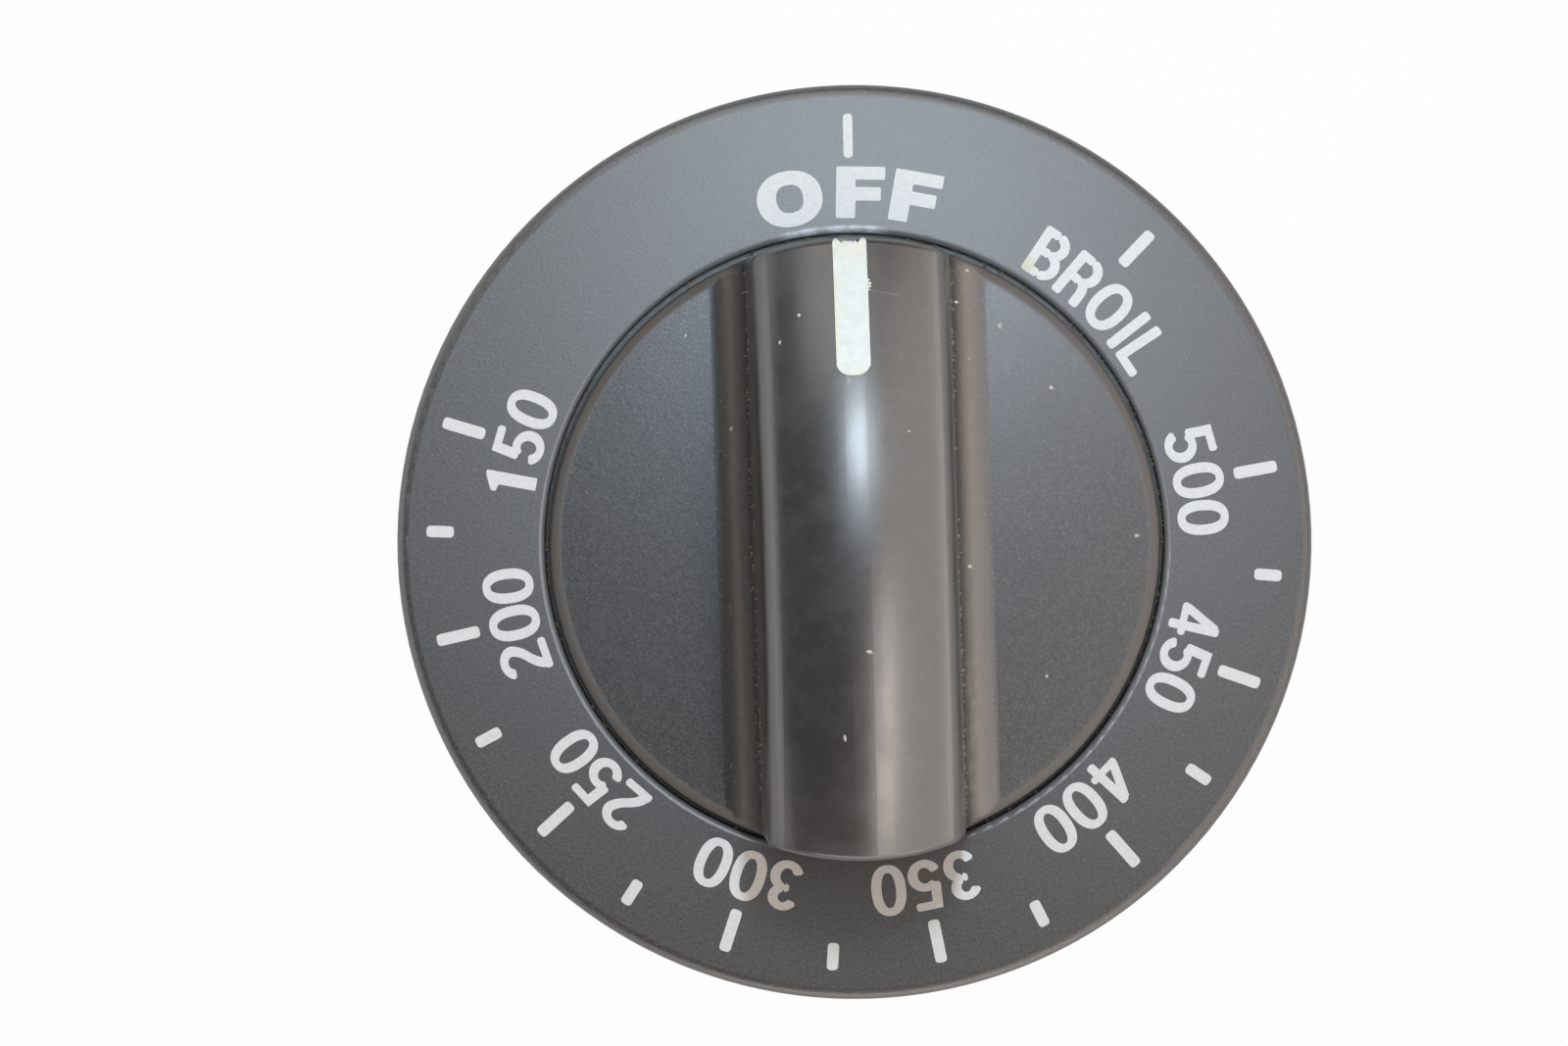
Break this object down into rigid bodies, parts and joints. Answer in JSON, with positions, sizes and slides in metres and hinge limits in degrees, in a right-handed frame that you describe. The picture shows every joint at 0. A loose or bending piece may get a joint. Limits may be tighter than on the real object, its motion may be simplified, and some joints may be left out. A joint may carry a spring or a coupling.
{
  "type": "oven control knob",
  "caption": "Round oven control knob: crowned finger bar on a disc with a white pointer, set in a numbered dial skirt that turns for calibration; D-shaft hub with spring clip behind.",
  "frame": {"origin": "on the turning axis, in the plane of the rear rim", "axes": "+Z along the turning axis out of the front, +Y towards the pointer and the OFF mark"},
  "size_m": [0.0738, 0.0738, 0.027],
  "materials": {
    "grip_plastic": "satin black moulding",
    "dial_plastic": "fine-grained dark grey moulding",
    "pointer_white": "white filling, slightly yellowed",
    "spring_steel": "blued spring strip",
    "screw_steel": "zinc plated"
  },
  "bodies": {
    "grip": {"knob_grip": "grip_plastic", "pointer_fill": "pointer_white", "shaft_spring": "spring_steel", "clamp_screws": "screw_steel"},
    "skirt": {"dial_skirt": "dial_plastic"}
  },
  "joints": [
    {"name": "skirt_calibration", "type": "hinge", "parent": "grip", "child": "skirt", "pos_m": [0, 0, 0.005], "axis": [0, 0, 1], "range_deg": [-30, 30]}
  ]
}
